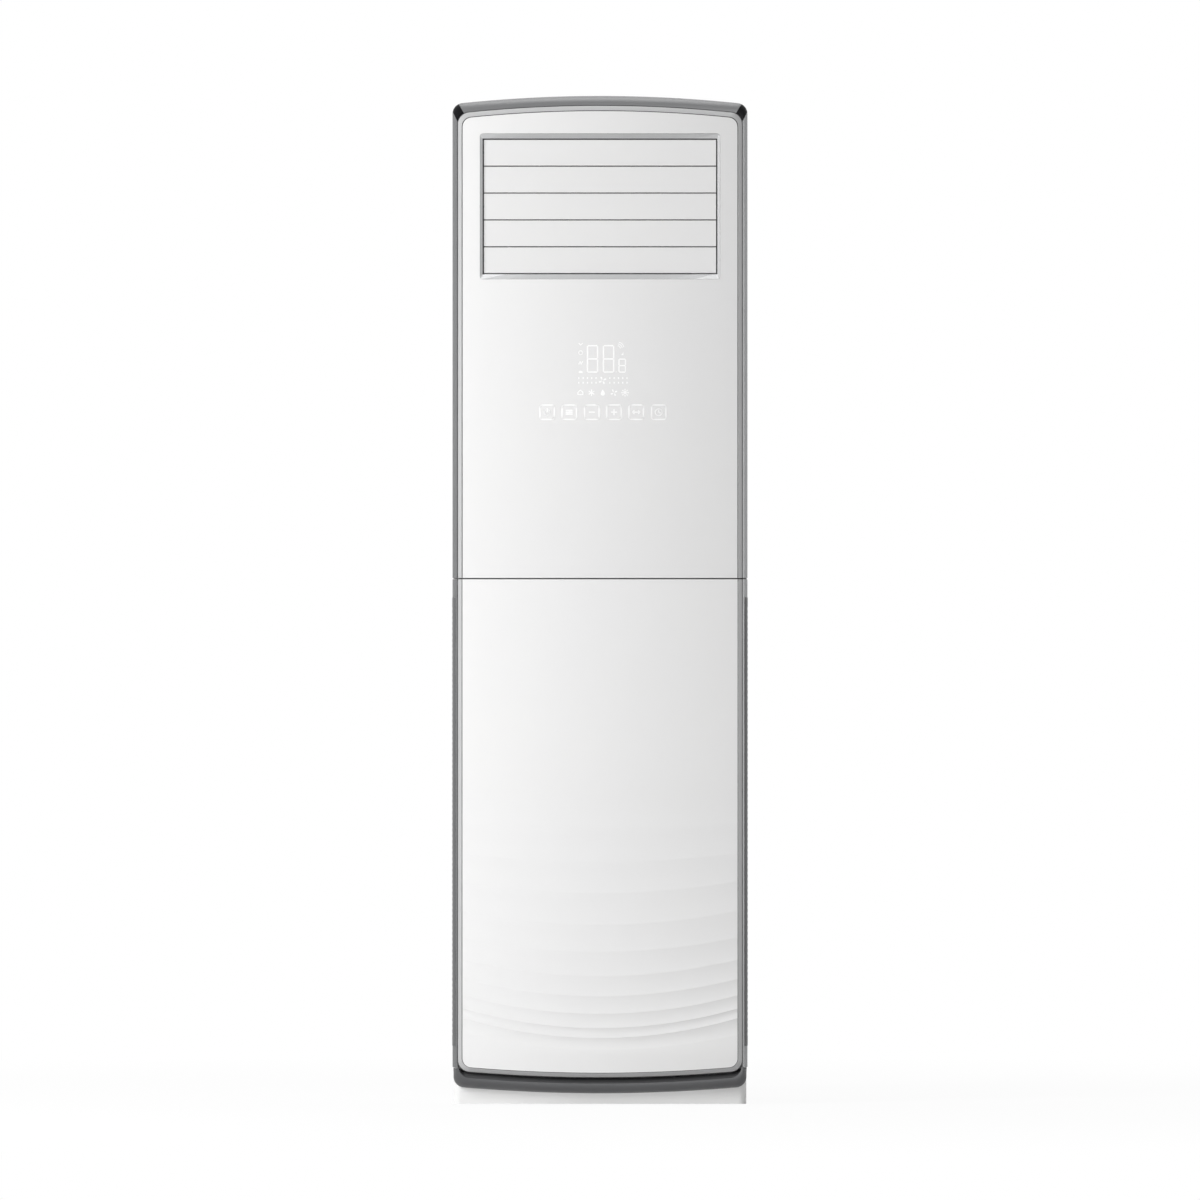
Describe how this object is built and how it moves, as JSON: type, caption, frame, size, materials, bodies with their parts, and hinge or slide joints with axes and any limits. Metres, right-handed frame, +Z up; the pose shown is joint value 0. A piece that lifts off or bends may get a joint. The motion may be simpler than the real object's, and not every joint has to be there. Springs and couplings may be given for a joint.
{
  "type": "packaged air conditioner",
  "caption": "Floor-standing cabinet air conditioner with outlet blades and vanes, tilting lower door, side filters, centrifugal blower and leaning coil.",
  "frame": {"origin": "on the floor under the middle of the cabinet's bounding box", "axes": "+Z up, -Y out of the front with the outlet and the display, +X to the right seen from the front"},
  "size_m": [0.54, 0.38, 1.842],
  "materials": {
    "white_panel": "gloss white moulded plastic",
    "white_blade": "white moulded plastic",
    "silver_trim": "silver painted plastic",
    "grey_casing": "grey metallic painted plastic",
    "dark_plastic": "dark moulded plastic",
    "vane_plastic": "dark moulded plastic",
    "white_steel": "white powder coat",
    "zinc_steel": "zinc coated sheet",
    "motor_steel": "plated steel can",
    "duct_foam": "lined duct",
    "fin_aluminium": "thin fin stock",
    "copper_tube": "drawn copper",
    "brass_nut": "machined brass",
    "hose_rubber": "soft hose",
    "circuit_board": "solder-masked board",
    "filter_mesh": "moulded filter frame and web"
  },
  "bodies": {
    "cabinet": {"upper_panel": "white_panel", "upper_bezel": "silver_trim", "outlet_frame": "silver_trim", "upper_shell": "grey_casing", "bottom_trim": "grey_casing", "top_cover": "grey_casing", "corner_caps": "dark_plastic", "door_catches": "dark_plastic", "inlet_ring": "dark_plastic", "drain_pan": "dark_plastic", "terminal_block": "dark_plastic", "cable_gland": "dark_plastic", "side_panel_left": "white_steel", "side_panel_right": "white_steel", "plinth": "white_steel", "base_pan": "zinc_steel", "rear_panel": "zinc_steel", "mid_rail": "zinc_steel", "blower_deck": "zinc_steel", "hinge_brackets": "zinc_steel", "blower_housing": "zinc_steel", "motor_bracket": "zinc_steel", "coil_end_plates": "zinc_steel", "electric_box": "zinc_steel", "electric_cover": "zinc_steel", "cabinet_screws": "zinc_steel", "wall_plate": "zinc_steel", "blower_motor": "motor_steel", "louvre_motor": "motor_steel", "vane_motor": "motor_steel", "outlet_duct": "duct_foam", "coil_fins": "fin_aluminium", "coil_tubes": "copper_tube", "refrigerant_pipes": "copper_tube", "flare_nuts": "brass_nut", "drain_hose": "hose_rubber", "control_board": "circuit_board", "display_board": "circuit_board"},
    "lower_door": {"lower_panel": "white_panel", "lower_bezel": "silver_trim", "door_frame": "grey_casing", "intake_grille_left": "dark_plastic", "intake_grille_right": "dark_plastic"},
    "blower": {"blower_wheel": "dark_plastic"},
    "filter_l": {"filter_left": "filter_mesh"},
    "filter_r": {"filter_right": "filter_mesh"},
    "louvre_bar": {"louvre_link": "dark_plastic"},
    "vane_bar": {"vane_link": "dark_plastic"},
    "blade_1": {"louvre_1": "white_blade"},
    "blade_2": {"louvre_2": "white_blade"},
    "blade_3": {"louvre_3": "white_blade"},
    "blade_4": {"louvre_4": "white_blade"},
    "blade_5": {"louvre_5": "white_blade"},
    "fin_vane_1": {"vane_1": "vane_plastic"},
    "fin_vane_2": {"vane_2": "vane_plastic"},
    "fin_vane_3": {"vane_3": "vane_plastic"},
    "fin_vane_4": {"vane_4": "vane_plastic"},
    "fin_vane_5": {"vane_5": "vane_plastic"},
    "fin_vane_6": {"vane_6": "vane_plastic"},
    "fin_vane_7": {"vane_7": "vane_plastic"}
  },
  "joints": [
    {"name": "door_tilt", "type": "hinge", "parent": "cabinet", "child": "lower_door", "pos_m": [0, -0.169, 0.07], "axis": [1, 0, 0], "range_deg": [0, 18]},
    {"name": "filter_l_slide", "type": "slide", "parent": "lower_door", "child": "filter_l", "axis": [0, 1, 0], "range_m": [0, 0.07]},
    {"name": "filter_r_slide", "type": "slide", "parent": "lower_door", "child": "filter_r", "axis": [0, 1, 0], "range_m": [0, 0.07]},
    {"name": "blower_spin", "type": "hinge", "parent": "cabinet", "child": "blower", "pos_m": [0, 0.045, 0.42], "axis": [0, 1, 0], "continuous": true},
    {"name": "blade_1_swing", "type": "hinge", "parent": "cabinet", "child": "blade_1", "pos_m": [0, -0.1741, 1.73746], "axis": [1, 0, 0], "range_deg": [0, 85]},
    {"name": "blade_2_swing", "type": "hinge", "parent": "cabinet", "child": "blade_2", "pos_m": [0, -0.1741, 1.68838], "axis": [1, 0, 0], "range_deg": [0, 85]},
    {"name": "blade_3_swing", "type": "hinge", "parent": "cabinet", "child": "blade_3", "pos_m": [0, -0.1741, 1.6393], "axis": [1, 0, 0], "range_deg": [0, 85]},
    {"name": "blade_4_swing", "type": "hinge", "parent": "cabinet", "child": "blade_4", "pos_m": [0, -0.1741, 1.59022], "axis": [1, 0, 0], "range_deg": [0, 85]},
    {"name": "blade_5_swing", "type": "hinge", "parent": "cabinet", "child": "blade_5", "pos_m": [0, -0.1741, 1.54114], "axis": [1, 0, 0], "range_deg": [0, 85]},
    {"name": "louvre_bar_turn", "type": "hinge", "parent": "blade_1", "child": "louvre_bar", "pos_m": [0.2246, -0.1621, 1.73746], "axis": [1, 0, 0], "range_deg": [-85, 0]},
    {"name": "vane_1_swing", "type": "hinge", "parent": "cabinet", "child": "fin_vane_1", "pos_m": [-0.168, -0.114, 1.64], "axis": [0, 0, 1], "range_deg": [-35, 35]},
    {"name": "vane_2_swing", "type": "hinge", "parent": "cabinet", "child": "fin_vane_2", "pos_m": [-0.112, -0.114, 1.64], "axis": [0, 0, 1], "range_deg": [-35, 35]},
    {"name": "vane_3_swing", "type": "hinge", "parent": "cabinet", "child": "fin_vane_3", "pos_m": [-0.056, -0.114, 1.64], "axis": [0, 0, 1], "range_deg": [-35, 35]},
    {"name": "vane_4_swing", "type": "hinge", "parent": "cabinet", "child": "fin_vane_4", "pos_m": [0, -0.114, 1.64], "axis": [0, 0, 1], "range_deg": [-35, 35]},
    {"name": "vane_5_swing", "type": "hinge", "parent": "cabinet", "child": "fin_vane_5", "pos_m": [0.056, -0.114, 1.64], "axis": [0, 0, 1], "range_deg": [-35, 35]},
    {"name": "vane_6_swing", "type": "hinge", "parent": "cabinet", "child": "fin_vane_6", "pos_m": [0.112, -0.114, 1.64], "axis": [0, 0, 1], "range_deg": [-35, 35]},
    {"name": "vane_7_swing", "type": "hinge", "parent": "cabinet", "child": "fin_vane_7", "pos_m": [0.168, -0.114, 1.64], "axis": [0, 0, 1], "range_deg": [-35, 35]},
    {"name": "vane_bar_turn", "type": "hinge", "parent": "fin_vane_1", "child": "vane_bar", "pos_m": [-0.168, -0.1, 1.508], "axis": [0, 0, 1], "range_deg": [-35, 35]}
  ],
  "couplings": [
    {"joint": "blade_2_swing", "follows": "blade_1_swing", "ratio": 1},
    {"joint": "blade_3_swing", "follows": "blade_1_swing", "ratio": 1},
    {"joint": "blade_4_swing", "follows": "blade_1_swing", "ratio": 1},
    {"joint": "blade_5_swing", "follows": "blade_1_swing", "ratio": 1},
    {"joint": "louvre_bar_turn", "follows": "blade_1_swing", "ratio": -1},
    {"joint": "vane_2_swing", "follows": "vane_1_swing", "ratio": 1},
    {"joint": "vane_3_swing", "follows": "vane_1_swing", "ratio": 1},
    {"joint": "vane_4_swing", "follows": "vane_1_swing", "ratio": 1},
    {"joint": "vane_5_swing", "follows": "vane_1_swing", "ratio": 1},
    {"joint": "vane_6_swing", "follows": "vane_1_swing", "ratio": 1},
    {"joint": "vane_7_swing", "follows": "vane_1_swing", "ratio": 1},
    {"joint": "vane_bar_turn", "follows": "vane_1_swing", "ratio": -1}
  ]
}
